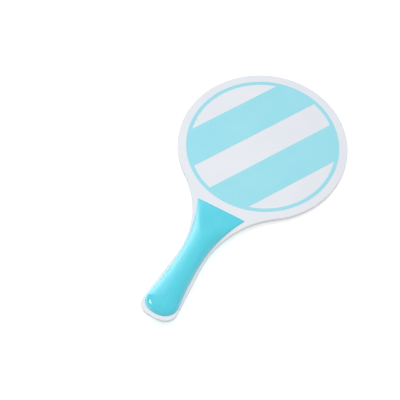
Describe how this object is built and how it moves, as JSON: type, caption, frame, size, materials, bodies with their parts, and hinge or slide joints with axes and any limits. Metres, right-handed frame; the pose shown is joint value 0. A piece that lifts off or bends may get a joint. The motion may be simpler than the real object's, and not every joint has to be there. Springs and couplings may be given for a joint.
{
  "type": "beach game paddle",
  "caption": "Round flat paddle for a beach ball game: a white board with a striped aqua decal on each face and a flared, half-round moulded grip on both sides of its handle.",
  "frame": {"origin": "middle of the paddle's length and width, at the lowest point of the rear grip", "axes": "+Y along the handle towards the blade, +Z out of the front face, +X to the right when the handle points down"},
  "size_m": [0.185, 0.33, 0.0262],
  "materials": {
    "white_lacquered_board": "fibreboard under smooth white satin lacquer",
    "aqua_vinyl": "thin aqua vinyl film, satin",
    "turquoise_plastic": "smooth moulded turquoise plastic, glossy",
    "zinc_steel": "bright zinc plate"
  },
  "bodies": {
    "root": {"blade_board": "white_lacquered_board", "front_decal": "aqua_vinyl", "rear_decal": "aqua_vinyl", "front_grip_shell": "turquoise_plastic", "rear_grip_shell": "turquoise_plastic", "grip_screw_neck": "zinc_steel", "grip_screw_waist": "zinc_steel", "grip_screw_butt": "zinc_steel"}
  },
  "joints": []
}
